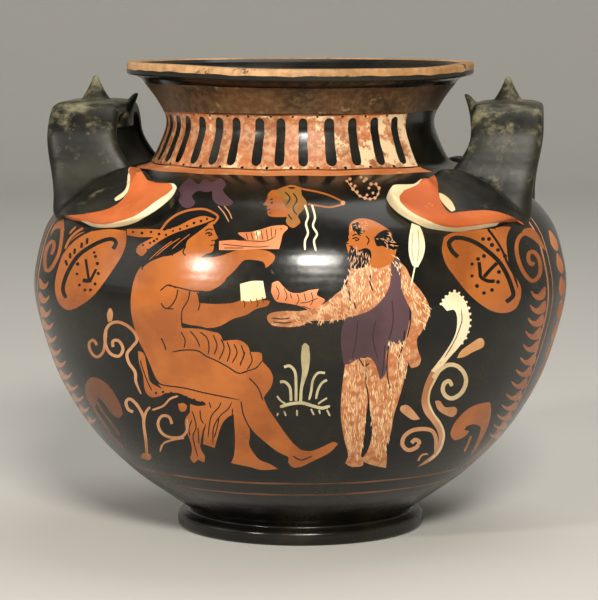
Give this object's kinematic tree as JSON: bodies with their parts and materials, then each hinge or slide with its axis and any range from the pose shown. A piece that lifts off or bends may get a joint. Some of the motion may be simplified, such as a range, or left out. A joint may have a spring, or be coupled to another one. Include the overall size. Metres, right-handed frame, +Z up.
{
  "type": "stamnos vase",
  "caption": "Squat wide-mouthed fired-clay jar with a flared neck, a low disc foot and upright bridge handles, glazed black with an orange figure scene.",
  "frame": {"origin": "on the ground at the axis of the jar, in the middle of the foot's underside", "axes": "+Z up along the axis of the jar, +X through the middle of one handle, -X through the other, -Y towards the painted front"},
  "size_m": [0.3432, 0.3432, 0.3],
  "materials": {
    "glazed_clay": "black gloss with orange clay figures"
  },
  "bodies": {
    "root": {"stamnos": "glazed_clay"}
  },
  "joints": []
}
